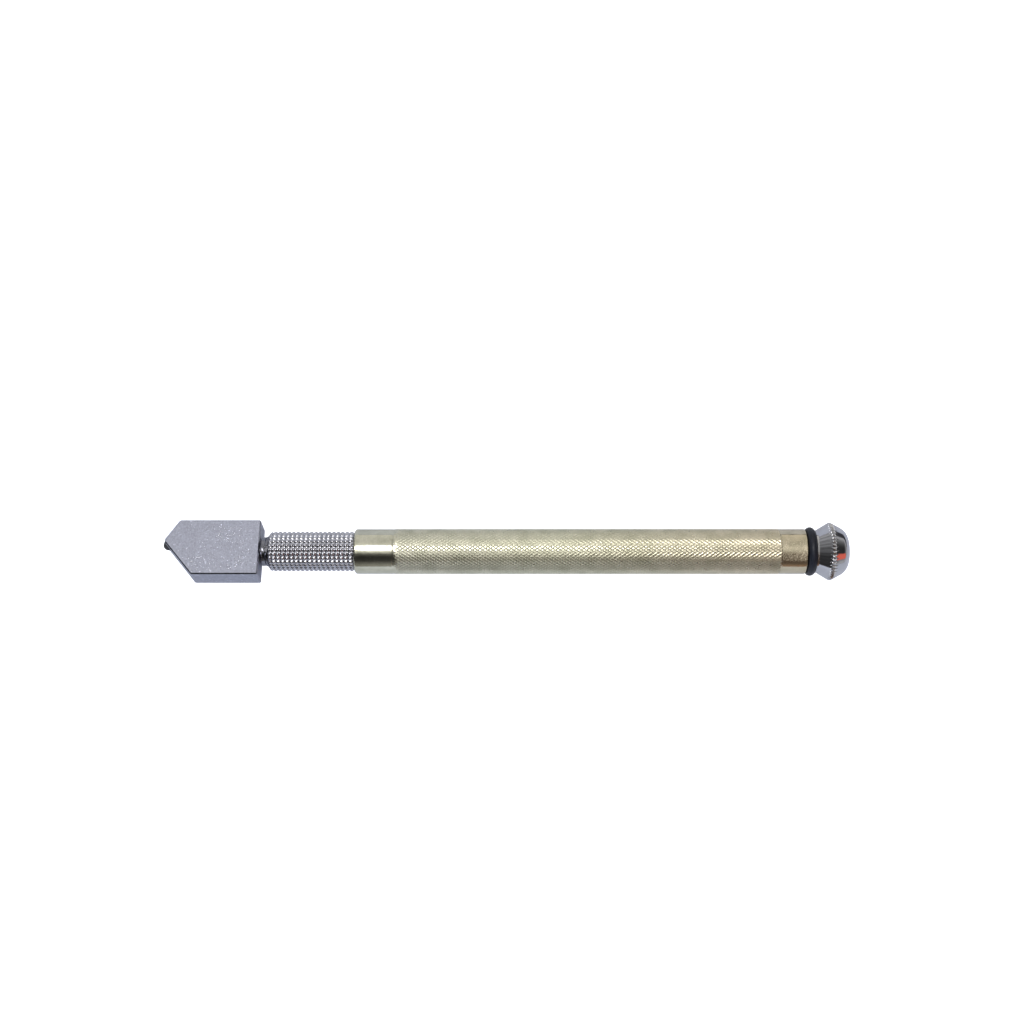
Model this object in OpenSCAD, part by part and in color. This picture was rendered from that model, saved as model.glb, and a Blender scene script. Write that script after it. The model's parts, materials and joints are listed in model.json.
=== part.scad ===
// Oil-fed glass cutter, pencil grip, with a wide swivelling head.
// The tool lies along X: cutting head towards -X, filler cap towards +X, +Z up.
// The origin is under the middle of the tool, on the surface that the cap's rim touches.

/* [Barrel] */
// Diameter of the barrel's two smooth bands
barrel_d = 11.4; // [11:0.1:13]
// Diameter over the crests of the barrel's diamond knurl
barrel_knurl_d = 11.44; // [11:0.02:13.2]
// Bore of the barrel tube, which is the oil reservoir
barrel_bore_d = 9.6; // [9.4:0.1:10]
// Length of the barrel tube
barrel_l = 114.3; // [90:0.1:140]
// Length of the smooth band at the ferrule end
front_band_l = 9.8; // [7:0.1:14]
// Length of the smooth band at the cap end
rear_band_l = 6.7; // [4:0.1:12]
// Chamfer on both ends of the tube
barrel_chamfer = 0.35; // [0.2:0.05:0.5]

/* [Ferrule] */
// Diameter over the crests of the ferrule's pyramid knurl
ferrule_d = 10.1; // [9.9:0.1:11]
// Length of the ferrule that stands out of the barrel
ferrule_l = 23.6; // [20:0.1:30]
// Diameter of the smooth neck behind the head
neck_d = 7.5; // [7:0.1:8.5]
// Length of the straight part of the neck
neck_l = 1; // [1:0.1:3]
// Length of the flare between the neck and the knurl
flare_l = 1.4; // [1:0.1:3]
// Diameter of the threaded spigot that screws into the front bush
spigot_d = 7.8; // [7.6:0.1:8]
// Length of the spigot
spigot_l = 8; // [6:0.5:12]

/* [Head] */
// Length of the head from its blunt tip to its rear face
head_l = 24.1; // [20:0.1:30]
// Width of the head across its narrow sides
head_w = 14.8; // [12:0.1:18]
// Thickness of the head between its broad faces
head_t = 6.6; // [6:0.1:8]
// Offset of the tip from the tool's axis, across the head
tip_offset = 1.85; // [0:0.05:3]
// Width of the blunt tip
tip_flat = 0.8; // [0.4:0.1:2]
// Distance from the tip back to the shoulder on the tip's side
near_shoulder = 3.4; // [3:0.1:6]
// Distance from the tip back to the opposite shoulder
far_shoulder = 7.4; // [6:0.1:10]
// Turn of the head about the tool's axis as it lies
head_roll = 17; // [0:0.5:30]
// Gap between the head and the ferrule with the wheel unloaded
head_gap = 0.45; // [0.45:0.05:1]

/* [Wheel] */
// Diameter of the carbide wheel
wheel_d = 3.1; // [3:0.1:4.2]
// Thickness of the wheel
wheel_t = 1; // [0.8:0.1:1.2]
// How far the wheel's edge stands out of the tip
wheel_proud = 1; // [0.8:0.05:1.3]
// Included angle of the cutting edge
edge_angle = 140; // [110:1:155]
// Diameter of the axle
axle_d = 0.8; // [0.6:0.1:1]

/* [Shank] */
// Diameter of the head's hollow shank
shank_d = 4.6; // [4.4:0.1:4.8]
// Depth to which the shank is pressed into the head
socket_l = 9; // [7:0.5:11]
// Bore of the shank, for the oil
shank_bore_d = 1.8; // [1.2:0.1:2]
// Axial travel of the head that opens the oil valve
valve_travel = 0.4; // [0.2:0.05:0.4]
// Diameter of the set screw's thread
screw_d = 1.5; // [1.2:0.1:1.8]

/* [Cap] */
// Diameter over the serrated rim
cap_d = 14.6; // [13:0.1:16]
// Length of the cap from its underside to its end
cap_l = 8.5; // [7:0.1:10]
// Diameter of the collar that bears on the O-ring
collar_d = 10.8; // [10:0.1:12]
// Section of the O-ring under the cap
cap_ring_t = 2.1; // [1.8:0.1:2.5]
// Outside diameter of that O-ring
cap_ring_d = 12.4; // [12:0.1:13]
// Outside diameter of the stud's thread
stud_d = 7; // [6:0.1:7.4]
// Length of the stud's thread inside the barrel
stud_l = 7; // [5:0.5:8]

/* [Hidden] */
$fn = 64;
eps = 0.5;

// Fits
running = 0.05;
face_gap = 0.05;

// Stations along the tool, from the wheel's edge to the cap's end
cap_seat = cap_ring_t + 2 * face_gap;
total_l = wheel_proud + head_l + head_gap + ferrule_l + barrel_l + cap_seat + cap_l;
x_tip = wheel_proud - total_l / 2;
x_head_rear = x_tip + head_l;
x_ferrule = x_head_rear + head_gap;
x_barrel = x_ferrule + ferrule_l;
x_barrel_rear = x_barrel + barrel_l;
x_cap = x_barrel_rear + cap_seat;
axis_z = cap_d / 2;

// Valve train inside the ferrule
x_screw = x_ferrule + 1.25;
screw_tilt = -8;
screw_tip_r = 0.35;
screw_top_r = neck_d / 2 - 0.25;
screw_groove_d = 3.4;
shank_ring_t = 0.8;
x_shank_ring = x_ferrule + 5;
x_shank_end = x_ferrule + 9.55;
x_shoulder = x_ferrule + 11.05;
chamber_d = 6.2;
seal_t = 0.8;
flange_t = 1;
flange_d = 5.6;
stem_pin_d = 2.8;
stem_rod_d = 1.8;
x_seal = x_shoulder + 0.03;
x_flange = x_seal + seal_t;
x_spring = x_flange + flange_t;
spring_l = 7.5;
spring_wire_d = 0.5;
spring_mean_d = 3.8;
spring_turns = 6;
x_retainer = x_spring + spring_l;
retainer_l = 5;
oil_hole_d = 0.9;
oil_hole_pcd = 4.2;
x_spigot_end = x_barrel + spigot_l;

// Bushes in the two ends of the barrel
ferrule_ring_t = (barrel_bore_d - spigot_d) / 2;
front_bush_l = 8;
filler_bush_l = 9;

// Shape of the flare: 1 is a straight cone, more is hollow
flare_curve = 1.25;

// Cap profile, measured from its underside
cap_collar_l = 0.5;
cap_rim_l = 0.5;
cap_rim_x = 3.63;
cap_rear_angle = 28.5;
cap_end_r = 3.67;
cap_socket_l = 4;

// Places in the head, measured back from its tip
wheel_x = wheel_d / 2 - wheel_proud;
pocket_r = wheel_d / 2 + 0.3;
pocket_t = wheel_t + 2 * face_gap;
axle_l = head_t - 1;
socket_x = head_l - socket_l;
channel_angle = atan2(tip_offset, socket_x - wheel_x);
channel_l = norm([tip_offset, socket_x - wheel_x]);
channel_d = 1.2;

// Children drawn along local Z, laid along the tool's axis from station x
module at_x(x) {
    translate([x, 0, axis_z])
        rotate([0, 90, 0])
            children();
}

// Children drawn in the head's own frame: X back from the tip, Y across, Z through it
module in_head() {
    translate([x_tip, 0, axis_z])
        rotate([-head_roll, 0, 0])
            children();
}

// Children drawn along local Z at the wheel's centre, across the head
module at_wheel(z) {
    in_head()
        translate([wheel_x, tip_offset, z])
            children();
}

// Children drawn along local Z, standing radially out of the neck through the set screw's hole
module at_screw() {
    translate([x_screw, 0, axis_z])
        rotate([screw_tilt, 0, 0])
            children();
}

module rod(x, l, d) {
    at_x(x)
        cylinder(h = l, d = d);
}

module tube(x, l, d_out, d_in) {
    difference() {
        rod(x, l, d_out);
        rod(x - eps, l + 2 * eps, d_in);
    }
}

module ring(x, d_out, t) {
    at_x(x)
        rotate_extrude()
            translate([d_out / 2 - t / 2, 0])
                circle(d = t, $fn = 48);
}

// Wire coil along local Z, its ends square to the wire
module coil(l, mean_d, wire_d, turns) {
    sides = 8;
    steps = 24 * turns;
    points = [
        for (i = [0:steps], k = [0:sides - 1])
            let (
                a = 360 * turns * i / steps,
                b = 360 * k / sides,
                r = mean_d / 2 + wire_d / 2 * cos(b)
            )
            [r * cos(a), r * sin(a), l * i / steps + wire_d / 2 * sin(b)]
    ];
    walls = [
        for (i = [0:steps - 1], k = [0:sides - 1])
            let (
                j = (k + 1) % sides,
                p = i * sides,
                q = p + sides
            )
            each [[p + k, q + k, p + j], [p + j, q + k, q + j]]
    ];
    start = [[for (k = [0:sides - 1]) k]];
    end = [[for (k = [sides - 1:-1:0]) steps * sides + k]];
    polyhedron(points = points, faces = concat(walls, start, end), convexity = 8);
}

// ---------- wheel and head ----------

module cutting_wheel() {
    edge_drop = wheel_t / 2 / tan(edge_angle / 2);
    r = wheel_d / 2;
    color([0.16, 0.16, 0.18])
        at_wheel(0)
            difference() {
                rotate_extrude()
                    polygon([
                        [0, -wheel_t / 2],
                        [r - edge_drop, -wheel_t / 2],
                        [r, 0],
                        [r - edge_drop, wheel_t / 2],
                        [0, wheel_t / 2]
                    ]);
                cylinder(h = wheel_t + 2 * eps, d = axle_d + 2 * 0.02, center = true);
            }
}

module wheel_axle() {
    color([0.55, 0.56, 0.58])
        at_wheel(-head_t / 2)
            cylinder(h = axle_l, d = axle_d);
}

module head_outline() {
    polygon([
        [0, tip_offset - tip_flat / 2],
        [far_shoulder, -head_w / 2],
        [head_l, -head_w / 2],
        [head_l, head_w / 2],
        [near_shoulder, head_w / 2],
        [0, tip_offset + tip_flat / 2]
    ]);
}

module head_body() {
    color([0.64, 0.65, 0.71])
        difference() {
            in_head()
                linear_extrude(height = head_t, center = true)
                    head_outline();
            at_wheel(-pocket_t / 2)
                cylinder(h = pocket_t, r = pocket_r);
            at_wheel(-head_t / 2 - eps)
                cylinder(h = axle_l + eps, d = axle_d);
            rod(x_head_rear - socket_l, socket_l + eps, shank_d);
            head_channel(0);
        }
}

// Oil channel from the wheel's pocket to the shank's socket, shortened at the wheel by start
module head_channel(start) {
    in_head()
        translate([wheel_x, tip_offset, 0])
            rotate([0, 90, -channel_angle])
                translate([0, 0, start])
                    cylinder(h = channel_l - start, d = channel_d);
}

module head_wick() {
    color([0.85, 0.8, 0.68])
        difference() {
            head_channel(pocket_r - 0.2);
            rod(x_head_rear - socket_l, socket_l, shank_d);
        }
}

module head_shank() {
    slot_w = 0.8;
    slot_l = 1;
    groove_x = x_screw - screw_tip_r - valve_travel - running;
    groove_l = 2 * screw_tip_r + valve_travel + 2 * running;
    color([0.3, 0.3, 0.32])
        difference() {
            rod(x_head_rear - socket_l, socket_l + x_shank_end - x_head_rear, shank_d);
            rod(x_head_rear - socket_l - eps, 2 * eps + socket_l + x_shank_end - x_head_rear, shank_bore_d);
            tube(groove_x, groove_l, shank_d + 1, screw_groove_d);
            tube(x_shank_ring - shank_ring_t / 2, shank_ring_t, shank_d + 1, shank_d - 2 * shank_ring_t);
            translate([x_shank_end - slot_l, -slot_w / 2, axis_z - shank_d])
                cube([slot_l + eps, slot_w, 2 * shank_d]);
        }
}

module shank_oring() {
    color([0.09, 0.09, 0.1])
        ring(x_shank_ring, shank_d, shank_ring_t);
}

// ---------- ferrule and its fastenings ----------

module ferrule_profile() {
    steps = 8;
    r_neck = neck_d / 2;
    rise = ferrule_d / 2 - r_neck;
    polygon(concat(
        [[0, 0], [r_neck, 0]],
        [
            for (i = [0:steps])
                let (t = i / steps)
                [r_neck + rise * pow(t, flare_curve), neck_l + flare_l * t]
        ],
        [
            [ferrule_d / 2, ferrule_l],
            [spigot_d / 2, ferrule_l],
            [spigot_d / 2, ferrule_l + spigot_l],
            [0, ferrule_l + spigot_l]
        ]
    ));
}

module ferrule() {
    color([0.8, 0.8, 0.83])
        difference() {
            at_x(x_ferrule)
                rotate_extrude()
                    ferrule_profile();
            rod(x_ferrule - eps, ferrule_l, shank_d + 2 * running);
            rod(x_shoulder, ferrule_l + spigot_l, chamber_d);
            at_screw()
                cylinder(h = neck_d, d = screw_d);
        }
}

module set_screw() {
    socket_depth = 0.5;
    tip_l = 1;
    tip_end_r = screw_groove_d / 2 + running;
    color([0.5, 0.5, 0.53])
        at_screw()
            difference() {
                union() {
                    translate([0, 0, tip_end_r])
                        cylinder(h = tip_l, r = screw_tip_r);
                    translate([0, 0, shank_d / 2 + running])
                        cylinder(h = screw_top_r - shank_d / 2 - running, d = screw_d);
                }
                translate([0, 0, screw_top_r - socket_depth])
                    cylinder(h = socket_depth + eps, d = 0.8, $fn = 6);
            }
}

module ferrule_oring() {
    color([0.09, 0.09, 0.1])
        ring(x_barrel + ferrule_ring_t / 2, barrel_bore_d, ferrule_ring_t);
}

module front_bush() {
    color([0.76, 0.62, 0.32])
        tube(x_barrel + ferrule_ring_t, front_bush_l, barrel_bore_d, spigot_d);
}

// ---------- oil valve ----------

module valve_stem() {
    color([0.78, 0.66, 0.36]) {
        rod(x_shank_end + face_gap, x_flange - x_shank_end - face_gap, stem_pin_d);
        rod(x_flange, flange_t, flange_d);
        rod(x_spring, spring_l + retainer_l - 1.5, stem_rod_d);
    }
}

module valve_seal() {
    color([0.12, 0.12, 0.13])
        tube(x_seal, seal_t, flange_d, stem_pin_d);
}

module valve_spring() {
    color([0.6, 0.61, 0.64])
        at_x(x_spring + spring_wire_d / 2)
            coil(spring_l - spring_wire_d, spring_mean_d, spring_wire_d, spring_turns);
}

module valve_retainer() {
    slot_w = 0.8;
    slot_depth = 1;
    color([0.76, 0.62, 0.32])
        difference() {
            tube(x_retainer, retainer_l, chamber_d, stem_rod_d + 2 * running);
            for (i = [0:3])
                at_x(x_retainer - eps)
                    rotate([0, 0, 45 + 90 * i])
                        translate([oil_hole_pcd / 2, 0, 0])
                            cylinder(h = retainer_l + 2 * eps, d = oil_hole_d);
            translate([x_retainer + retainer_l - slot_depth, -slot_w / 2, axis_z - chamber_d])
                cube([slot_depth + eps, slot_w, 2 * chamber_d]);
        }
}

// ---------- barrel ----------

module barrel() {
    c = barrel_chamfer;
    r_band = barrel_d / 2;
    r_knurl = barrel_knurl_d / 2;
    r_bore = barrel_bore_d / 2;
    color([0.76, 0.72, 0.58])
        at_x(x_barrel)
            rotate_extrude()
                polygon([
                    [r_bore, 0],
                    [r_band - c, 0],
                    [r_band, c],
                    [r_band, front_band_l],
                    [r_knurl, front_band_l],
                    [r_knurl, barrel_l - rear_band_l],
                    [r_band, barrel_l - rear_band_l],
                    [r_band, barrel_l - c],
                    [r_band - c, barrel_l],
                    [r_bore, barrel_l]
                ]);
}

module filler_bush() {
    color([0.76, 0.62, 0.32])
        tube(x_barrel_rear - filler_bush_l, filler_bush_l, barrel_bore_d, stud_d + 2 * running);
}

// ---------- cap ----------

module cap_oring() {
    color([0.08, 0.08, 0.09])
        ring(x_barrel_rear + cap_seat / 2, cap_ring_d, cap_ring_t);
}

module cap_stud() {
    color([0.76, 0.62, 0.32])
        rod(x_barrel_rear - stud_l, stud_l + cap_seat + cap_socket_l, stud_d);
}

// Collar, front cone, rim band, rear cone and the round that blends it into the flat end
module cap_profile() {
    steps = 8;
    r_rim = cap_d / 2;
    x_rear = cap_rim_x + cap_rim_l;
    x_round = cap_l - cap_end_r * (1 - sin(cap_rear_angle));
    r_round = r_rim - (x_round - x_rear) * tan(cap_rear_angle);
    polygon(concat(
        [
            [0, 0],
            [collar_d / 2, 0],
            [collar_d / 2, cap_collar_l],
            [r_rim, cap_rim_x],
            [r_rim, x_rear]
        ],
        [
            for (i = [0:steps])
                let (a = cap_rear_angle + (90 - cap_rear_angle) * i / steps)
                [
                    r_round - cap_end_r * (cos(cap_rear_angle) - cos(a)),
                    x_round + cap_end_r * (sin(a) - sin(cap_rear_angle))
                ]
        ],
        [[0, cap_l]]
    ));
}

module cap_knob() {
    color([0.82, 0.82, 0.85])
        difference() {
            at_x(x_cap)
                rotate_extrude()
                    cap_profile();
            rod(x_cap - eps, cap_socket_l + eps, stud_d);
        }
}

cutting_wheel();
wheel_axle();
head_body();
head_shank();
head_wick();
shank_oring();
ferrule();
set_screw();
ferrule_oring();
front_bush();
valve_stem();
valve_seal();
valve_spring();
valve_retainer();
barrel();
filler_bush();
cap_oring();
cap_stud();
cap_knob();
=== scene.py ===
"""Glass cutter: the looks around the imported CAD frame. Lengths are in metres, written as a number of MM."""

import math

import json

import bmesh
import bpy
import numpy as np
from mathutils import Matrix, Vector


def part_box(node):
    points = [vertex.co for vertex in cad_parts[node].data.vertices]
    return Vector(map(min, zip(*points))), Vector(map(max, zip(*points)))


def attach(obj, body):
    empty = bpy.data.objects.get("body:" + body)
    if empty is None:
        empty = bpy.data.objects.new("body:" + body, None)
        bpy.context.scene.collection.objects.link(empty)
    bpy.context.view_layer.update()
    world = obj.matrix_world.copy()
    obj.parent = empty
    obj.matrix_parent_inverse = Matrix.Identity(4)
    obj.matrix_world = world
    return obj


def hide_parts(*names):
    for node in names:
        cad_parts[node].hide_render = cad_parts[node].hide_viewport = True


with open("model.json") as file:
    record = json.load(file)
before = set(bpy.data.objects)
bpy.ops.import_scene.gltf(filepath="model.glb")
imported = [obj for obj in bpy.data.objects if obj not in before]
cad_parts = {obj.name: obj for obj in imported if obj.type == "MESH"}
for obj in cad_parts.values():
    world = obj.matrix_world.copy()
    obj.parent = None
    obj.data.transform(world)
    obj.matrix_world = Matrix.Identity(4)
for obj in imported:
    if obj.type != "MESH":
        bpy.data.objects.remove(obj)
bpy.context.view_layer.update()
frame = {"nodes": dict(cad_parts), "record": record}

MM = 0.001
TURN = 2 * math.pi

# ---------- places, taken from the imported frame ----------

MOUNTS = {m["name"]: m for m in frame["record"]["mounts"]}


def x_span(node):
    low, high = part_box(node)
    return low.x, high.x


def radius(node):
    low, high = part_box(node)
    return (high.z - low.z) / 2


AXIS_Z = (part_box("barrel")[0].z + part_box("barrel")[1].z) / 2
BARREL_X0, BARREL_X1 = x_span("barrel")
FERRULE_X0, FERRULE_X1 = x_span("ferrule")
CAP_X0, CAP_X1 = x_span("cap_knob")
STUD_X0, STUD_X1 = x_span("cap_stud")
HEAD_X0, HEAD_X1 = x_span("head_body")
RING_X0, RING_X1 = x_span("cap_oring")

# ---------- sizes that the frame doesn't state, as in part.scad ----------

BAND_R = 5.7 * MM
FRONT_BAND = 9.8 * MM
REAR_BAND = 6.7 * MM
BORE_R = 4.8 * MM
SPIGOT_R = 3.9 * MM
CHAMBER_R = 3.1 * MM
SHANK_BORE_R = 2.35 * MM
NECK_R = 3.75 * MM
NECK_L = 1 * MM
FLARE_L = 1.4 * MM
FLARE_CURVE = 1.25
SHOULDER_X = FERRULE_X0 + 11.05 * MM
HEAD_T = 6.6 * MM
HEAD_W = 14.8 * MM
TIP_OFFSET = 1.85 * MM
TIP_FLAT = 0.8 * MM
NEAR_SHOULDER = 3.4 * MM
FAR_SHOULDER = 7.4 * MM
WHEEL_R = 1.55 * MM
WHEEL_X = 0.55 * MM
POCKET_R = WHEEL_R + 0.3 * MM
POCKET_T = 1.1 * MM
AXLE_HOLE_R = 0.41 * MM
SOCKET_L = 9 * MM
SOCKET_R = 2.31 * MM
RIM_CHAMFER = 0.28 * MM
COLLAR_R = 5.4 * MM
COLLAR_L = 0.5 * MM
RIM_X = 3.63 * MM
RIM_L = 0.5 * MM
REAR_ANGLE = math.radians(28.5)
END_ROUND = 3.67 * MM
CAP_SOCKET = 4 * MM

# ---------- mesh helpers ----------


def new_object(name, vertices, faces, smooth=True, sharp_deg=None):
    mesh = bpy.data.meshes.new(name)
    mesh.from_pydata([tuple(v) for v in vertices], [], [tuple(f) for f in faces])
    mesh.update()
    mesh.polygons.foreach_set("use_smooth", [smooth] * len(mesh.polygons))
    if sharp_deg is not None:
        mesh.set_sharp_from_angle(angle=math.radians(sharp_deg))
    obj = bpy.data.objects.new(name, mesh)
    bpy.context.scene.collection.objects.link(obj)
    return obj


def lathe(name, xs, rs, segments, poles=(False, False), loop=False, split=None, **looks):
    """A surface around the tool's axis, one ring for each x. rs holds a radius for each ring, or for each
    ring and segment. Rings run towards +X on the outside of a solid and back along its bore.
    poles closes an end on the axis, loop joins the last ring to the first, and split says, for each
    quad, whether it is cut along its other diagonal (None leaves quads whole)."""
    xs = np.asarray(xs, float)
    rs = np.asarray(rs, float)
    count = len(xs)
    if rs.ndim == 1:
        rs = np.repeat(rs[:, None], segments, axis=1)
    angle = np.arange(segments) * TURN / segments
    points = np.stack(
        [
            np.repeat(xs[:, None], segments, axis=1),
            rs * np.cos(angle),
            AXIS_Z + rs * np.sin(angle),
        ],
        axis=-1,
    ).reshape(-1, 3)
    last = count if loop else count - 1
    faces = []
    for i in range(last):
        k = (i + 1) % count
        for j in range(segments):
            n = (j + 1) % segments
            a, b, c, d = i * segments + j, i * segments + n, k * segments + n, k * segments + j
            if split is None or split[i] is None:
                faces.append((a, b, c, d))
            elif split[i][j]:
                faces += [(a, b, d), (b, c, d)]
            else:
                faces += [(a, b, c), (a, c, d)]
    vertices = list(points)
    if poles[0]:
        vertices.append((xs[0], 0, AXIS_Z))
        p = len(vertices) - 1
        faces += [(p, (j + 1) % segments, j) for j in range(segments)]
    if poles[1]:
        vertices.append((xs[-1], 0, AXIS_Z))
        p = len(vertices) - 1
        start = (count - 1) * segments
        faces += [(p, start + j, start + (j + 1) % segments) for j in range(segments)]
    return new_object(name, vertices, faces, **looks)


def plain_rings(radii, segments):
    """One full ring of each radius."""
    return [np.full(segments, r) for r in radii]


def saw(t):
    """0 at each whole number, rising to 0.5 half-way between."""
    f = t - np.floor(t)
    return np.minimum(f, 1 - f)


def best_split(height, centres):
    """For each quad of a height field, whether its b-d diagonal lies closer to the surface than a-c."""
    a = height[:-1]
    b = np.roll(a, -1, axis=1)
    d = height[1:]
    c = np.roll(d, -1, axis=1)
    return np.abs((b + d) / 2 - centres) < np.abs((a + c) / 2 - centres)


# ---------- barrel: two smooth bands and a diamond knurl ----------

KNURL_STARTS = 41
KNURL_PITCH = 1.3 * MM
KNURL_DEPTH = 0.06 * MM
KNURL_LAND = 0.25
KNURL_STEPS = 2
KNURL_RUN_IN = 1.6 * MM
KNURL_FIRST_CUT = 0.15
BARREL_LIP = 0.35 * MM
BARREL_SOFT = 0.08 * MM


def diamond(a, b):
    """Height, from 0 to 1, of the diamond knurl at column a and row b of its grid."""
    u = (a + b) / (2 * KNURL_STEPS)
    v = (a - b) / (2 * KNURL_STEPS)
    return np.minimum(1, np.minimum(saw(u), saw(v)) / KNURL_LAND)


def build_barrel():
    segments = 2 * KNURL_STARTS * KNURL_STEPS
    crest = radius("barrel")
    start = BARREL_X0 + FRONT_BAND
    end = BARREL_X1 - REAR_BAND
    rows = round((end - start) / (KNURL_PITCH / 2 / KNURL_STEPS))
    columns = np.arange(segments)[None, :]
    row = np.arange(rows + 1)[:, None]
    height = diamond(columns, row)
    cut = best_split(height, diamond(columns + 0.5, row[:-1] + 0.5))
    reach = np.linspace(0, end - start, rows + 1)[:, None]
    depth = KNURL_DEPTH * np.clip(reach / KNURL_RUN_IN, KNURL_FIRST_CUT, 1)
    knurl_r = crest - depth * (1 - height)
    knurl_r[0] = knurl_r[-1] = crest - KNURL_DEPTH
    lip, soft = BARREL_LIP, BARREL_SOFT
    front_x = [0, 0, soft, lip - soft, lip, lip + soft, FRONT_BAND - 2 * soft, FRONT_BAND - soft]
    front_r = [
        BORE_R,
        BAND_R - lip - soft,
        BAND_R - lip,
        BAND_R - soft,
        BAND_R - soft / 3,
        BAND_R,
        BAND_R,
        BAND_R - soft / 2,
    ]
    rear_x = [end + soft] + [BARREL_X1 - x for x in reversed(front_x[:-2])]
    rear_r = [BAND_R] + front_r[-3::-1]
    xs = [BARREL_X0 + x for x in front_x] + list(np.linspace(start, end, rows + 1)) + rear_x
    rs = plain_rings(front_r, segments) + list(knurl_r) + plain_rings(rear_r, segments)
    split = [None] * len(front_x) + list(cut) + [None] * (1 + len(rear_x))
    piece = lathe("barrel_tube", xs, np.array(rs), segments, loop=True, split=split, sharp_deg=7)
    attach(piece, "handle")
    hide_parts("barrel")
    return piece


# ---------- ferrule: neck, flare and pyramid knurl ----------

BEAD_ROWS = 26
BEAD_PITCH = 1.138 * MM
BEAD_DEPTH = 0.35 * MM
BEAD_STEPS = 8
BEAD_START = 1.63 * MM
BEAD_ROUND = 0.85
COVE = 0.12 * MM
NECK_EDGE = 0.15 * MM


def bead(u, v):
    """Height, from 0 to 1, of a rounded pyramid; u counts rows around and v along."""
    a = 1 - 2 * saw(u)
    b = 1 - 2 * saw(v)
    return (np.cos(a * math.pi / 2) * np.cos(b * math.pi / 2)) ** BEAD_ROUND


def flare(x):
    """Radius of the ferrule's plain outline at x from its front face, with a shallow cove in the neck."""
    t = np.clip((x - NECK_L) / FLARE_L, 0, 1)
    hollow = COVE * np.sin(np.pi * np.clip(x / (NECK_L + 0.5 * FLARE_L), 0, 1))
    return NECK_R - hollow + (radius("ferrule") - NECK_R) * t**FLARE_CURVE


def build_ferrule():
    segments = BEAD_ROWS * BEAD_STEPS
    length = BARREL_X0 - FERRULE_X0
    start = BEAD_START
    steps = math.floor((length - start) / BEAD_PITCH * BEAD_STEPS)
    columns = np.arange(segments)[None, :] / BEAD_STEPS
    row = np.arange(steps)[:, None] / BEAD_STEPS
    bumps = flare(start + row * BEAD_PITCH) - BEAD_DEPTH * (1 - bead(columns, row))
    plain_x = np.linspace(NECK_EDGE, start - 0.1 * MM, 14)
    plain_r = np.minimum(flare(plain_x), max(bumps[0, 0], NECK_R))
    rear = FERRULE_X1 - FERRULE_X0
    shoulder = SHOULDER_X - FERRULE_X0
    tail_x = [length, rear, rear, shoulder, shoulder]
    tail_r = [SPIGOT_R, SPIGOT_R, CHAMBER_R, CHAMBER_R, SHANK_BORE_R]
    xs = FERRULE_X0 + np.array([0, 0, *plain_x, *(start + row[:, 0] * BEAD_PITCH), *tail_x])
    rs = plain_rings([SHANK_BORE_R, NECK_R - NECK_EDGE, *plain_r], segments)
    rs += list(bumps) + plain_rings(tail_r, segments)
    piece = lathe("ferrule_collar", xs, np.array(rs), segments, loop=True, sharp_deg=38)
    cut_screw_hole(piece)
    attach(piece, "handle")
    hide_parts("ferrule")
    return piece


def cylinder(name, start, axis, length, r, segments=48):
    """A closed cylinder from start along axis."""
    mesh = bmesh.new()
    bmesh.ops.create_cone(mesh, cap_ends=True, segments=segments, radius1=r, radius2=r, depth=length)
    axis = Vector(axis).normalized()
    turn = axis.to_track_quat("Z", "Y").to_matrix().to_4x4()
    mesh.transform(Matrix.Translation(Vector(start) + axis * length / 2) @ turn)
    data = bpy.data.meshes.new(name)
    mesh.to_mesh(data)
    mesh.free()
    obj = bpy.data.objects.new(name, data)
    bpy.context.scene.collection.objects.link(obj)
    return obj


def cut(piece, *tools):
    """Subtracts each tool from the piece, and removes the tools."""
    for tool in tools:
        modifier = piece.modifiers.new("cut", "BOOLEAN")
        modifier.operation = "DIFFERENCE"
        modifier.solver = "EXACT"
        modifier.object = tool
    bpy.context.view_layer.update()
    graph = bpy.context.evaluated_depsgraph_get()
    made = bpy.data.meshes.new_from_object(piece.evaluated_get(graph))
    piece.modifiers.clear()
    old = piece.data
    piece.data = made
    bpy.data.meshes.remove(old)
    for tool in tools:
        bpy.data.objects.remove(tool)


SCREW_LOW, SCREW_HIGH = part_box("set_screw")
SCREW_TILT = math.radians(-8)
SCREW_AXIS = Vector((0, -math.sin(SCREW_TILT), math.cos(SCREW_TILT)))
SCREW_X = (SCREW_LOW.x + SCREW_HIGH.x) / 2
SCREW_HOLE_R = 0.76 * MM


def cut_screw_hole(piece):
    foot = Vector((SCREW_X, 0, AXIS_Z)) + SCREW_AXIS * 1.5 * MM
    cut(piece, cylinder("screw_hole", foot, SCREW_AXIS, 4 * MM, SCREW_HOLE_R))


# ---------- cap: cones, serrated rim, rounded end ----------

RIM_TEETH = 46
TOOTH_DEPTH = 0.42 * MM
COLLAR_EDGE = 0.06 * MM
END_SHARES = (0.97, 0.9, 0.7, 0.4, 0.15)


def cap_profile():
    """Radius of the turned cap at a distance from its underside, without its serrations."""
    rim = radius("cap_knob")
    length = CAP_X1 - CAP_X0
    x_rear = RIM_X + RIM_L
    x_round = length - END_ROUND * (1 - math.sin(REAR_ANGLE))
    r_round = rim - (x_round - x_rear) * math.tan(REAR_ANGLE)

    def at(x):
        if x < COLLAR_L:
            return COLLAR_R
        if x < RIM_X:
            return COLLAR_R + (rim - COLLAR_R) * (x - COLLAR_L) / (RIM_X - COLLAR_L)
        if x < x_rear:
            return rim
        if x < x_round:
            return rim - (x - x_rear) * math.tan(REAR_ANGLE)
        lean = math.asin(min(1, math.sin(REAR_ANGLE) + (x - x_round) / END_ROUND))
        return r_round - END_ROUND * (math.cos(REAR_ANGLE) - math.cos(lean))

    return at, rim, length


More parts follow.
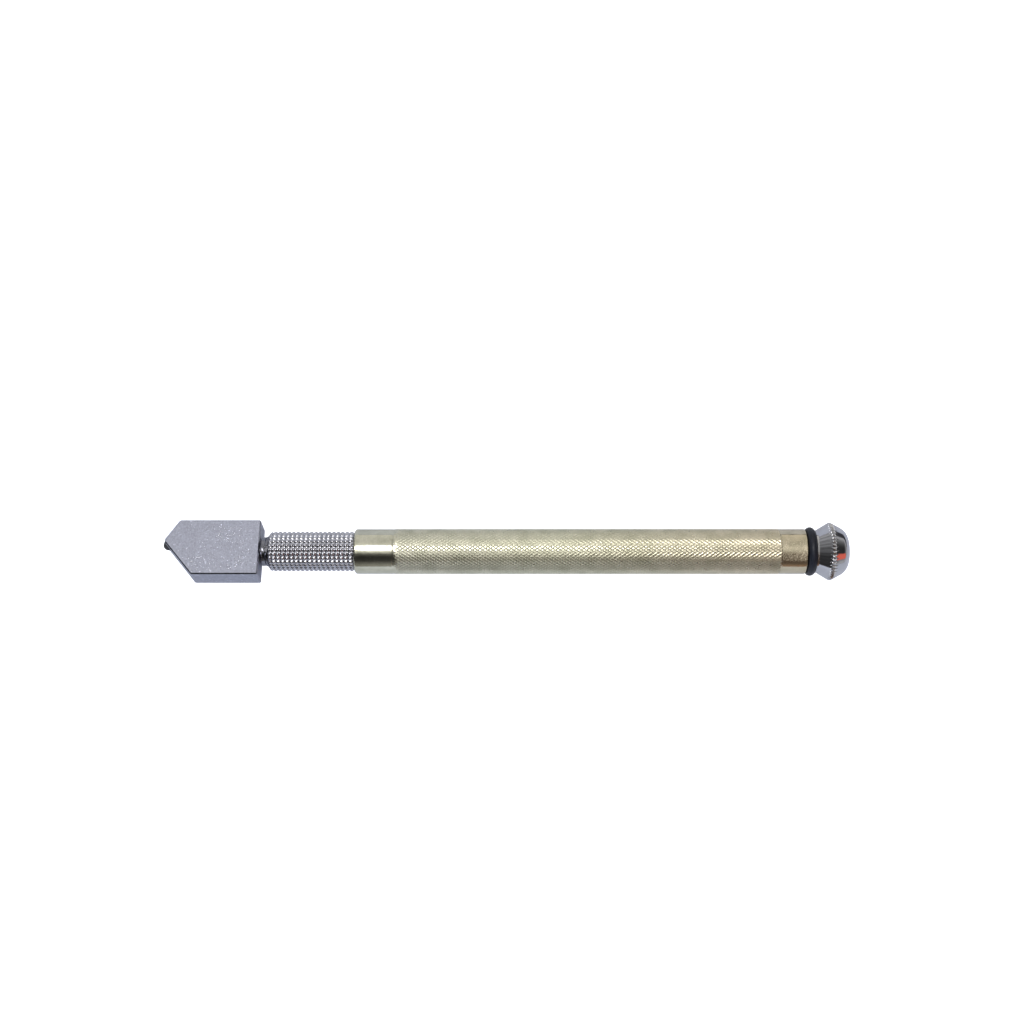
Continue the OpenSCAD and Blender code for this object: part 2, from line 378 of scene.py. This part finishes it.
def build_cap():
    at, rim, length = cap_profile()
    segments = RIM_TEETH * 10
    socket_r = radius("cap_stud")
    angle = np.arange(segments) / segments * RIM_TEETH
    notch = rim - TOOTH_DEPTH * (1 - np.sqrt(2 * saw(angle)))
    fine = np.linspace(RIM_X - 0.85 * MM, RIM_X + RIM_L + 0.85 * MM, 42)
    rear = length - END_ROUND * (1 - math.sin(REAR_ANGLE))
    edge = COLLAR_EDGE
    outer = [edge, COLLAR_L - edge, COLLAR_L, COLLAR_L + 0.1 * MM]
    outer += list(np.linspace(0.9 * MM, fine[0], 6)[:-1]) + list(fine)
    outer += list(np.linspace(fine[-1], rear, 8)[1:])
    lean = np.linspace(REAR_ANGLE, math.pi / 2, 14)[1:]
    outer += [rear + END_ROUND * (math.sin(t) - math.sin(REAR_ANGLE)) for t in lean]
    rs = plain_rings([socket_r * 0.5, socket_r, socket_r, COLLAR_R - edge], segments)
    rs += [np.minimum(at(x), notch) for x in outer]
    rs += [rs[-1] * share for share in END_SHARES]
    xs = [CAP_SOCKET, CAP_SOCKET, 0, 0, *outer, *[length] * len(END_SHARES)]
    piece = lathe(
        "cap_knob_turned", CAP_X0 + np.array(xs), np.array(rs), segments, poles=(True, True), sharp_deg=24
    )
    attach(piece, "cap")
    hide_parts("cap_knob")
    return piece


# ---------- threads and rings ----------

THREAD_PITCH = 1 * MM
THREAD_SEGMENTS = 72
THREAD_STEP = THREAD_PITCH / 10
THREAD_LEAD = 0.5 * MM
STUD_THREAD_DEPTH = 0.5 * MM
BUSH_THREAD_DEPTH = 0.35 * MM
STUD_CLEARANCE = 0.05 * MM


def thread_ring(x, crest, depth, fade=1):
    """Radii of one section through a right-hand thread that runs along +X."""
    phase = x / THREAD_PITCH - np.arange(THREAD_SEGMENTS) / THREAD_SEGMENTS
    ridge = np.clip(saw(phase) * 2.6 - 0.15, 0, 1)
    return crest - depth * (1 - ridge * fade)


def build_stud():
    crest = radius("cap_stud")
    start = STUD_X0 + THREAD_LEAD
    end = RING_X1
    xs = [STUD_X0, STUD_X0]
    rs = plain_rings([crest * 0.5, crest - STUD_THREAD_DEPTH - 0.1 * MM], THREAD_SEGMENTS)
    for x in np.linspace(start, end, round((end - start) / THREAD_STEP)):
        fade = min(1, (x - STUD_X0) / THREAD_PITCH, (end - x) / THREAD_PITCH)
        xs.append(x)
        rs.append(thread_ring(x, crest, STUD_THREAD_DEPTH, fade))
    xs += [end + 0.05 * MM, STUD_X1, STUD_X1]
    rs += plain_rings([crest, crest, crest * 0.5], THREAD_SEGMENTS)
    piece = lathe("cap_stud_thread", xs, np.array(rs), THREAD_SEGMENTS, poles=(True, True), sharp_deg=40)
    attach(piece, "cap")
    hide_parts("cap_stud")
    return piece


def build_filler_bush():
    x0, x1 = x_span("filler_bush")
    outside = radius("filler_bush")
    bore = radius("cap_stud") + STUD_CLEARANCE
    mouth = bore + THREAD_LEAD
    xs = [x0, x1, x1]
    rs = plain_rings([outside, outside, mouth], THREAD_SEGMENTS)
    steps = round((x1 - x0 - 2 * THREAD_LEAD) / THREAD_STEP)
    for x in np.linspace(x1 - THREAD_LEAD, x0 + THREAD_LEAD, steps):
        xs.append(x)
        rs.append(2 * bore - thread_ring(x, bore, BUSH_THREAD_DEPTH))
    xs.append(x0)
    rs += plain_rings([mouth], THREAD_SEGMENTS)
    piece = lathe("filler_bush_thread", xs, np.array(rs), THREAD_SEGMENTS, loop=True, sharp_deg=40)
    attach(piece, "handle")
    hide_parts("filler_bush")
    return piece


RING_FLASH = 0.02 * MM
RING_STEPS = 40
RING_SEGMENTS = 128


def build_cap_ring():
    """The O-ring, a little flattened where the barrel and the cap squeeze it, with its mould line."""
    outer = radius("cap_oring")
    half = (RING_X1 - RING_X0) / 2
    mid_x = (RING_X0 + RING_X1) / 2
    xs, rs = [], []
    for k in range(RING_STEPS):
        t = TURN * k / RING_STEPS
        flash = RING_FLASH * math.exp(-((math.sin(t / 2) / 0.06) ** 2))
        squeeze = min(half * 1.06 * abs(math.sin(t)), half)
        xs.append(mid_x - math.copysign(squeeze, math.sin(t)))
        rs.append(outer - half + (half - RING_FLASH) * math.cos(t) + flash)
    piece = lathe("cap_seal_ring", xs[::-1], rs[::-1], RING_SEGMENTS, loop=True)
    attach(piece, "cap_seal")
    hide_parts("cap_oring")
    return piece


# ---------- head and wheel ----------

NORMAL = Vector(MOUNTS["guide_face"]["axis"])
ACROSS = Vector((0, NORMAL.z, -NORMAL.y))
TIP = Vector((HEAD_X0, 0, AXIS_Z))


def in_head(x, w, n):
    """A point x back from the tip, w across the head and n through it."""
    return TIP + Vector((x, 0, 0)) + ACROSS * w + NORMAL * n


def rounded_outline():
    """The head's outline with its corners rounded, as (x, w) points."""
    half = HEAD_W / 2
    length = HEAD_X1 - HEAD_X0
    corners = [
        (0, TIP_OFFSET - TIP_FLAT / 2, 0.25),
        (FAR_SHOULDER, -half, 0.35),
        (length, -half, 0.4),
        (length, half, 0.5),
        (NEAR_SHOULDER, half, 0.4),
        (0, TIP_OFFSET + TIP_FLAT / 2, 0.25),
    ]
    points = []
    for k, (x, w, r) in enumerate(corners):
        here = Vector((x, w))
        before = Vector(corners[k - 1][:2]) - here
        after = Vector(corners[(k + 1) % len(corners)][:2]) - here
        start = here + before.normalized() * r * MM
        end = here + after.normalized() * r * MM
        for t in np.linspace(0, 1, 5):
            points.append(start.lerp(here, t).lerp(here.lerp(end, t), t))
    return points


def build_head():
    outline = rounded_outline()
    mesh = bmesh.new()
    low = [mesh.verts.new(in_head(p.x, p.y, -HEAD_T / 2)) for p in outline]
    high = [mesh.verts.new(in_head(p.x, p.y, HEAD_T / 2)) for p in outline]
    mesh.faces.new(low)
    mesh.faces.new(high[::-1])
    n = len(outline)
    for k in range(n):
        mesh.faces.new([low[k], high[k], high[(k + 1) % n], low[(k + 1) % n]])
    bmesh.ops.recalc_face_normals(mesh, faces=mesh.faces)
    rims = [e for e in mesh.edges if any(len(f.verts) == n for f in e.link_faces)]
    bmesh.ops.bevel(mesh, geom=rims, offset=RIM_CHAMFER, segments=1, affect="EDGES", clamp_overlap=True)
    data = bpy.data.meshes.new("head_casting")
    mesh.to_mesh(data)
    mesh.free()
    piece = bpy.data.objects.new("head_casting", data)
    bpy.context.scene.collection.objects.link(piece)
    wheel = in_head(WHEEL_X, TIP_OFFSET, 0)
    below = in_head(WHEEL_X, TIP_OFFSET, -HEAD_T / 2 - MM)
    bottom = (HEAD_X1 - SOCKET_L, 0, AXIS_Z)
    pocket = cylinder("pocket", wheel - NORMAL * POCKET_T / 2, NORMAL, POCKET_T, POCKET_R, 64)
    axle = cylinder("axle_hole", below, NORMAL, HEAD_T, AXLE_HOLE_R, 32)
    socket = cylinder("socket", bottom, (1, 0, 0), SOCKET_L + MM, SOCKET_R, 64)
    cut(piece, pocket, axle, socket)
    piece.data.polygons.foreach_set("use_smooth", [True] * len(piece.data.polygons))
    piece.data.set_sharp_from_angle(angle=math.radians(32))
    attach(piece, "head")
    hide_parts("head_body")
    return piece


GRAIN_SEGMENTS = 8
GRAIN_LEVELS = 3
GRAIN_SUNK = 0.01 * MM
# Count of grains, then their range along the head and across it, in millimetres
GRAIN_PATCHES = [
    (70, 6, 23, -6.6, -2.4),
    (45, 13.4, 19.4, 1.4, 5.6),
    (35, 4, 23, -6.4, 6.4),
]


def inside_face(x, w):
    """Whether a point lies inside the head's outline, 0.5 mm or more from its slanted edges."""
    margin = 0.5 * MM
    half = HEAD_W / 2
    upper = TIP_OFFSET + (half - TIP_OFFSET) * min(1, x / NEAR_SHOULDER)
    lower = TIP_OFFSET - (half + TIP_OFFSET) * min(1, x / FAR_SHOULDER)
    return lower + margin < w < upper - margin


def add_grain(vertices, faces, x, w, side, grain_r):
    """Adds a low dome on one broad face; side is 1 for the upper face and -1 for the lower."""
    segments, levels = GRAIN_SEGMENTS, GRAIN_LEVELS
    height = grain_r * 0.55
    base = len(vertices)
    for i in range(levels):
        t = i / levels * math.pi / 2
        n = side * (HEAD_T / 2 + height * math.sin(t) - GRAIN_SUNK)
        r = grain_r * math.cos(t)
        for j in range(segments):
            a = TURN * j / segments
            vertices.append(in_head(x + r * math.cos(a), w + r * math.sin(a), n))
    vertices.append(in_head(x, w, side * (HEAD_T / 2 + height - GRAIN_SUNK)))
    last = base + (levels - 1) * segments
    top = last + segments
    for j in range(segments):
        n = (j + 1) % segments
        for i in range(levels - 1):
            low = base + i * segments
            high = low + segments
            faces.append([low + j, low + n, high + n, high + j][::-side])
        faces.append([last + j, last + n, top][::-side])
    faces.append([base + j for j in range(segments)][::side])


def build_head_grains():
    """Raised grains left by the mould on both broad faces."""
    rng = np.random.default_rng(11)
    vertices, faces = [], []
    for side in (1, -1):
        for count, x0, x1, w0, w1 in GRAIN_PATCHES:
            for k in range(count):
                x, w = rng.uniform(x0, x1) * MM, rng.uniform(w0, w1) * MM
                grain_r = rng.uniform(0.09, 0.18) * MM
                if inside_face(x, w):
                    add_grain(vertices, faces, x, w, side, grain_r)
    piece = new_object("head_grains", vertices, faces)
    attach(piece, "head")
    return piece


# ---------- materials ----------


def link(tree, a, b):
    tree.links.new(a, b)


def node(tree, kind, **values):
    made = tree.nodes.new(kind)
    for key, value in values.items():
        if hasattr(made, key):
            setattr(made, key, value)
        else:
            made.inputs[key.replace("_", " ")].default_value = value
    return made


def ramp(tree, source, stops):
    """A colour ramp from source; stops are (position, colour) pairs."""
    made = tree.nodes.new("ShaderNodeValToRGB")
    elements = made.color_ramp.elements
    elements[0].position, elements[0].color = stops[0][0], (*stops[0][1], 1)
    elements[1].position, elements[1].color = stops[1][0], (*stops[1][1], 1)
    for position, colour in stops[2:]:
        element = elements.new(position)
        element.color = (*colour, 1)
    link(tree, source, made.inputs["Fac"])
    return made.outputs["Color"]


def grey(v):
    return (v, v, v)


def multiply(tree, first, second):
    mixed = node(tree, "ShaderNodeMix", data_type="RGBA", blend_type="MULTIPLY")
    mixed.inputs[0].default_value = 1.0
    link(tree, first, mixed.inputs[6])
    link(tree, second, mixed.inputs[7])
    return mixed.outputs[2]


def blend(tree, first, second, source, start, end):
    """first where source is at start, second where it is at end."""
    amount = node(tree, "ShaderNodeMapRange", interpolation_type="SMOOTHSTEP")
    amount.inputs["From Min"].default_value = start
    amount.inputs["From Max"].default_value = end
    link(tree, source, amount.inputs["Value"])
    mixed = node(tree, "ShaderNodeMix", data_type="RGBA")
    link(tree, amount.outputs["Result"], mixed.inputs[0])
    link(tree, first, mixed.inputs[6])
    link(tree, second, mixed.inputs[7])
    return mixed.outputs[2]


def start_material(name):
    made = bpy.data.materials.new(name)
    made.use_nodes = True
    tree = made.node_tree
    shader = tree.nodes["Principled BSDF"]
    place = tree.nodes.new("ShaderNodeTexCoord").outputs["Object"]
    return made, tree, shader, place


def noise(tree, place, size, detail=3, roughness=0.55):
    """Noise whose features are about size across."""
    made = node(tree, "ShaderNodeTexNoise", Scale=1 / size, Detail=detail, Roughness=roughness)
    link(tree, place, made.inputs["Vector"])
    return made.outputs["Fac"]


def bump(tree, shader, height, distance, strength=1.0, before=None):
    made = node(tree, "ShaderNodeBump", Strength=strength, Distance=distance)
    link(tree, height, made.inputs["Height"])
    if before is not None:
        link(tree, before, made.inputs["Normal"])
    link(tree, made.outputs["Normal"], shader.inputs["Normal"])
    return made.outputs["Normal"]


def metal(name, dark, light, patch, rough, grain, depth):
    """A metal whose colour drifts between dark and light over patches, with rough = (low, high) and a
    grain of the given size and depth."""
    made, tree, shader, place = start_material(name)
    shader.inputs["Metallic"].default_value = 1.0
    drift = noise(tree, place, patch, 4)
    link(tree, ramp(tree, drift, [(0.35, dark), (0.65, light)]), shader.inputs["Base Color"])
    smudge = noise(tree, place, patch * 0.37, 5, 0.65)
    polish = ramp(tree, smudge, [(0.3, grey(rough[0])), (0.75, grey(rough[1]))])
    link(tree, polish, shader.inputs["Roughness"])
    bump(tree, shader, noise(tree, place, grain, 3), depth)
    return made


def chrome(name, dark, light, rough):
    return metal(name, dark, light, 4 * MM, rough, 0.6 * MM, 0.002 * MM)


def brass_plate():
    """Pale brass plating that turns from greenish grey at the ferrule end to warmer at the cap end."""
    made, tree, shader, place = start_material("barrel_plating")
    shader.inputs["Metallic"].default_value = 1.0
    along = node(tree, "ShaderNodeSeparateXYZ")
    link(tree, place, along.inputs[0])
    scale = node(tree, "ShaderNodeMapRange")
    link(tree, along.outputs["X"], scale.inputs["Value"])
    scale.inputs["From Min"].default_value = BARREL_X0
    scale.inputs["From Max"].default_value = BARREL_X1
    hues = [(0.0, (0.64, 0.62, 0.50)), (1.0, (0.66, 0.58, 0.43)), (0.45, (0.64, 0.62, 0.47))]
    base = ramp(tree, scale.outputs["Result"], hues)
    patches = noise(tree, place, 3.5 * MM, 6, 0.6)
    tint = ramp(tree, patches, [(0.36, (0.80, 0.81, 0.78)), (0.62, (1.0, 1.0, 1.0))])
    link(tree, multiply(tree, base, tint), shader.inputs["Base Color"])
    front = FRONT_BAND / (BARREL_X1 - BARREL_X0)
    rear = 1 - REAR_BAND / (BARREL_X1 - BARREL_X0)
    smooth, cut_metal = grey(0.16), grey(0.34)
    stops = [(0.0, smooth), (1.0, smooth), (front, smooth), (front + 0.012, cut_metal)]
    stops += [(rear - 0.004, cut_metal), (rear, smooth)]
    zones = ramp(tree, scale.outputs["Result"], stops)
    smudge = ramp(tree, noise(tree, place, 1.6 * MM, 5, 0.7), [(0.3, grey(0.75)), (0.75, grey(1.0))])
    link(tree, multiply(tree, zones, smudge), shader.inputs["Roughness"])
    ripple = bump(tree, shader, noise(tree, place, 1.1 * MM, 2), 0.014 * MM)
    bump(tree, shader, noise(tree, place, 0.5 * MM, 4), 0.012 * MM, before=ripple)
    return made


def cast_metal():
    """Satin plating over a die casting: fine pebbled grain, with small bright spots painted into its colour
    as glints.
    """
    made, tree, shader, place = start_material("head_plating")
    shader.inputs["Metallic"].default_value = 0.85
    drift = noise(tree, place, 2.5 * MM, 5, 0.6)
    base = ramp(tree, drift, [(0.3, (0.36, 0.37, 0.435)), (0.7, (0.39, 0.40, 0.475))])
    grime = ramp(tree, noise(tree, place, 0.5 * MM, 4, 0.8), [(0.36, grey(0.84)), (0.64, grey(1.14))])
    glint_spots = node(tree, "ShaderNodeTexVoronoi", Scale=1 / (0.9 * MM))
    link(tree, place, glint_spots.inputs["Vector"])
    # Painted glints: the base colour is brightened 1.6 times in small spots, which are also made glossier.
    bright = ramp(tree, glint_spots.outputs["Distance"], [(0.12, grey(1.6)), (0.22, grey(1.0))])
    link(tree, multiply(tree, multiply(tree, base, grime), bright), shader.inputs["Base Color"])
    polish = ramp(tree, glint_spots.outputs["Distance"], [(0.1, grey(0.22)), (0.3, grey(0.5))])
    link(tree, polish, shader.inputs["Roughness"])
    pebbles = bump(tree, shader, noise(tree, place, 0.3 * MM, 4, 0.7), 0.07 * MM)
    pits = bump(tree, shader, noise(tree, place, 0.8 * MM, 3, 0.7), 0.09 * MM, before=pebbles)
    bump(tree, shader, noise(tree, place, 1.8 * MM, 2), 0.02 * MM, before=pits)
    return made


def rubber():
    made, tree, shader, place = start_material("black_nitrile")
    shader.inputs["Specular IOR Level"].default_value = 0.32
    drift = noise(tree, place, 0.8 * MM, 4)
    soot = ramp(tree, drift, [(0.3, (0.006, 0.007, 0.011)), (0.7, (0.014, 0.016, 0.026))])
    link(tree, soot, shader.inputs["Base Color"])
    link(tree, ramp(tree, drift, [(0.3, grey(0.34)), (0.7, grey(0.5))]), shader.inputs["Roughness"])
    bump(tree, shader, noise(tree, place, 0.15 * MM, 3), 0.006 * MM)
    return made


def felt():
    made, tree, shader, place = start_material("oiled_felt")
    fibres = noise(tree, place, 0.12 * MM, 6, 0.8)
    wool = ramp(tree, fibres, [(0.3, (0.42, 0.34, 0.2)), (0.7, (0.78, 0.7, 0.52))])
    link(tree, wool, shader.inputs["Base Color"])
    shader.inputs["Roughness"].default_value = 0.9
    shader.inputs["Sheen Weight"].default_value = 0.3
    bump(tree, shader, fibres, 0.05 * MM)
    return made


def paint(obj, material):
    obj.data.materials.clear()
    obj.data.materials.append(material)


def paint_part(obj, material, chosen):
    """Gives the faces for which chosen(face) is true a second material."""
    obj.data.materials.append(material)
    for face in obj.data.polygons:
        if chosen(face):
            face.material_index = len(obj.data.materials) - 1


def on_neck(face):
    return face.center.x < FERRULE_X0 + BEAD_START + 0.05 * MM


def on_head_rim(face):
    """Whether a face is one of the chamfers around the head's broad faces."""
    return 0.4 < abs(face.normal.dot(NORMAL)) < 0.95


# ---------- stage ----------


PAPER_END = 100 * MM
CORNER_Y = 22 * MM


def build_floor():
    """A pale sheet that glows white for the camera; a dark corner beyond it shows only in the cap."""
    size = 3.0
    corners = [(-size, -size, 0), (size, -size, 0), (size, size, 0), (-size, size, 0)]
    floor = new_object("floor", corners, [(0, 1, 2, 3)], smooth=False)
    made, tree, shader, place = start_material("pale_floor")
    along = node(tree, "ShaderNodeSeparateXYZ")
    link(tree, place, along.inputs[0])
    cloud = noise(tree, place, 0.4, 2)
    paper = ramp(tree, cloud, [(0.3, (0.66, 0.69, 0.77)), (0.7, (0.68, 0.71, 0.79))])
    # A dark patch of floor beyond the pale sheet, which the cap mirrors as a dark arc.
    dark_corner_tone = ramp(tree, cloud, [(0.3, (0.05, 0.05, 0.055)), (0.7, (0.07, 0.07, 0.075))])
    corner = blend(tree, paper, dark_corner_tone, along.outputs["Y"], CORNER_Y, CORNER_Y + 12 * MM)
    surface = blend(tree, paper, corner, along.outputs["X"], PAPER_END, PAPER_END + 15 * MM)
    link(tree, surface, shader.inputs["Base Color"])
    shader.inputs["Roughness"].default_value = 0.85
    shader.inputs["Specular IOR Level"].default_value = 0.1
    shader.inputs["Emission Color"].default_value = (1, 1, 1, 1)
    rays = tree.nodes.new("ShaderNodeLightPath")
    glow = node(tree, "ShaderNodeMath", operation="MULTIPLY")
    glow.inputs[1].default_value = 1.0
    link(tree, rays.outputs["Is Camera Ray"], glow.inputs[0])
    link(tree, glow.outputs[0], shader.inputs["Emission Strength"])
    paint(floor, made)


RED_PANEL = (0.935, -0.27, 0.23)


def build_world():
    """A pale tent on the far side, a dark room on the near side, and a bright panel overhead."""
    world = bpy.data.worlds.new("studio")
    bpy.context.scene.world = world
    world.use_nodes = True
    tree = world.node_tree
    background = tree.nodes["Background"]
    place = tree.nodes.new("ShaderNodeTexCoord").outputs["Generated"]
    parts = node(tree, "ShaderNodeSeparateXYZ")
    link(tree, place, parts.inputs[0])
    lean = node(tree, "ShaderNodeMath", operation="ARCTAN2")
    link(tree, parts.outputs["Y"], lean.inputs[0])
    link(tree, parts.outputs["Z"], lean.inputs[1])
    share = node(tree, "ShaderNodeMapRange")
    share.inputs["From Min"].default_value = -math.pi
    share.inputs["From Max"].default_value = math.pi
    link(tree, lean.outputs[0], share.inputs["Value"])

    def band(first, last, *between):
        """A ramp over the direction around X, in degrees from straight up towards +Y."""
        stops = [(degrees / 360 + 0.5, grey(level)) for degrees, level in (first, last, *between)]
        return ramp(tree, share.outputs["Result"], stops)

    middle = band((-100, 0.5), (100, 0.8), (-84, 0.34), (-55, 0.05), (-32, 0.03), (-18, 0.14), (-8, 0.8),
                  (0, 1.7), (20, 1.6), (32, 0.8), (50, 0.74), (80, 0.82))
    right = band((-100, 0.7), (100, 0.95), (-84, 0.28), (-70, 0.09), (-48, 0.09), (-28, 0.13), (-8, 0.3),
                 (12, 0.42), (32, 0.42), (55, 0.6), (80, 0.8))
    strip = band((-100, 0.3), (100, 0.9), (-60, 0.3), (-50, 2.2), (60, 2.2), (70, 0.8))
    far_left = band((-100, 0.08), (100, 0.6), (-75, 0.04), (-40, 0.05), (-5, 0.12), (12, 0.2), (35, 0.32),
                    (60, 0.42), (80, 0.5))
    horizon = [(0.0, grey(0.6)), (1.0, grey(0.3)), (0.08, grey(0.5)), (0.2, grey(0.24)), (0.3, grey(0.09)),
               (0.35, grey(0.04)), (0.6, grey(0.04))]
    warm = ramp(tree, share.outputs["Result"], [(0.36, (1.15, 0.72, 0.5)), (0.5, (1.0, 0.97, 0.9))])
    right = multiply(tree, right, warm)
    streaks = ramp(tree, noise(tree, place, 0.12, 3), [(0.35, grey(0.55)), (0.65, grey(1.35))])
    zones = [
        (0.07, 0.20, right),
        (0.225, 0.24, strip),
        (0.33, 0.36, right),
        (-0.2, -0.5, multiply(tree, far_left, streaks)),
        (0.55, 0.8, ramp(tree, parts.outputs["Z"], horizon)),
    ]
    sky = middle
    for start, end, colour in zones:
        sky = blend(tree, sky, colour, parts.outputs["X"], start, end)
    spot = node(tree, "ShaderNodeVectorMath", operation="DOT_PRODUCT")
    spot.inputs[1].default_value = RED_PANEL
    link(tree, place, spot.inputs[0])
    panel = ramp(tree, spot.outputs["Value"], [(0.9, (0.95, 0.17, 0.11)), (1.0, (1.1, 0.22, 0.15))])
    sky = blend(tree, sky, panel, spot.outputs["Value"], 0.985, 0.992)
    link(tree, sky, background.inputs["Color"])
    background.inputs["Strength"].default_value = 1.0


def aim(obj, target, up):
    """Points a camera or light at target, with its own Y towards up."""
    back = (obj.location - Vector(target)).normalized()
    right = Vector(up).cross(back).normalized()
    turn = Matrix((right, back.cross(right), back)).transposed()
    obj.rotation_euler = turn.to_euler()


def area_light(name, shape, size, watts, place, target, up):
    data = bpy.data.lights.new(name, "AREA")
    data.shape = shape
    data.size = size
    data.energy = watts
    light = bpy.data.objects.new(name, data)
    bpy.context.scene.collection.objects.link(light)
    light.location = place
    aim(light, target, up)
    return light


def build_lights():
    """A soft key overhead, and a cool fill from the near side that lifts the paper and isn't mirrored."""
    area_light("key", "DISK", 0.35, 3, (-0.05, 0.22, 1.0), (0, 0, 0), (0, 1, 0))
    fill = area_light("fill", "SQUARE", 0.3, 1.9, (-0.12, -0.45, 0.3), (-0.05, 0, 0), (0, 0, 1))
    fill.data.color = (0.85, 0.92, 1.0)
    fill.visible_glossy = False


def build_camera():
    data = bpy.data.cameras.new("camera")
    data.lens = 51.8
    data.sensor_width = 36
    data.clip_start = 0.01
    camera = bpy.data.objects.new("camera", data)
    bpy.context.scene.collection.objects.link(camera)
    camera.location = (4.18 * MM, -35.84 * MM, 379.1 * MM)
    aim(camera, (1.41 * MM, 10.64 * MM, AXIS_Z), (-0.0006, 1, 0))
    bpy.context.scene.camera = camera


# ---------- put together ----------

bpy.context.scene.view_settings.view_transform = "Standard"

CHROME = chrome("bright_chrome", (0.49, 0.49, 0.51), (0.55, 0.55, 0.58), (0.05, 0.12))
KNURL_CHROME = chrome("satin_chrome", (0.46, 0.46, 0.50), (0.54, 0.54, 0.58), (0.18, 0.28))
# Darker chrome for the ferrule's neck is painted shade: it stands in for the head's shadow and the dark
# reflections on the neck.
NECK_CHROME = chrome("neck_shade_chrome", (0.13, 0.13, 0.15), (0.24, 0.24, 0.27), (0.1, 0.2))
BARREL = brass_plate()
CAST = cast_metal()
# The raised grains get a lighter copy of the head's metal, a painted highlight, so that they show as bright
# glints.
GRAIN = metal(
    "grain_glint_metal", (0.72, 0.73, 0.80), (0.85, 0.86, 0.92), 0.6 * MM, (0.2, 0.3),
    grain=0.1 * MM, depth=0.002 * MM,
)
WORN_RIM = metal(
    "worn_rim", (0.34, 0.35, 0.41), (0.42, 0.43, 0.5), 2 * MM, (0.12, 0.24),
    grain=0.5 * MM, depth=0.004 * MM,
)
BLACK = rubber()
TURNED_BRASS = metal(
    "turned_brass", (0.60, 0.44, 0.18), (0.72, 0.56, 0.27), 3 * MM, (0.16, 0.3),
    grain=0.3 * MM, depth=0.003 * MM,
)
STEEL = metal(
    "ground_steel", (0.36, 0.36, 0.38), (0.52, 0.52, 0.54), 1.5 * MM, (0.18, 0.34),
    grain=0.2 * MM, depth=0.003 * MM,
)
# Near-black steel is painted shade: on the shank it stands in for the dark gap between head and ferrule, and
# on the set screw for the dark screw hole.
DARK_STEEL = metal(
    "gap_shade_steel", (0.05, 0.05, 0.055), (0.09, 0.09, 0.10), 1.2 * MM, (0.2, 0.36),
    grain=0.2 * MM, depth=0.003 * MM,
)
CARBIDE = metal(
    "dark_carbide", (0.045, 0.045, 0.05), (0.10, 0.10, 0.11), 0.8 * MM, (0.28, 0.42),
    grain=0.12 * MM, depth=0.004 * MM,
)
FELT = felt()

paint(build_barrel(), BARREL)
ferrule = build_ferrule()
paint(ferrule, KNURL_CHROME)
# The neck's faces get the darkened chrome, painted shade behind the head.
paint_part(ferrule, NECK_CHROME, on_neck)
paint(build_cap(), CHROME)
paint(build_stud(), TURNED_BRASS)
paint(build_filler_bush(), TURNED_BRASS)
paint(build_cap_ring(), BLACK)
head = build_head()
paint(head, CAST)
paint_part(head, WORN_RIM, on_head_rim)
paint(build_head_grains(), GRAIN)

CARRIED = {
    "cutting_wheel": CARBIDE,
    "wheel_axle": STEEL,
    # painted shade: the shank is darkened for the gap between head and ferrule
    "head_shank": DARK_STEEL,
    "head_wick": FELT,
    "shank_oring": BLACK,
    # painted shade: the set screw is darkened for the dark screw hole
    "set_screw": DARK_STEEL,
    "ferrule_oring": BLACK,
    "front_bush": TURNED_BRASS,
    "valve_stem": TURNED_BRASS,
    "valve_seal": BLACK,
    "valve_spring": STEEL,
    "valve_retainer": TURNED_BRASS,
}
for name, material in CARRIED.items():
    paint(frame["nodes"][name], material)

build_floor()
build_world()
build_lights()
build_camera()
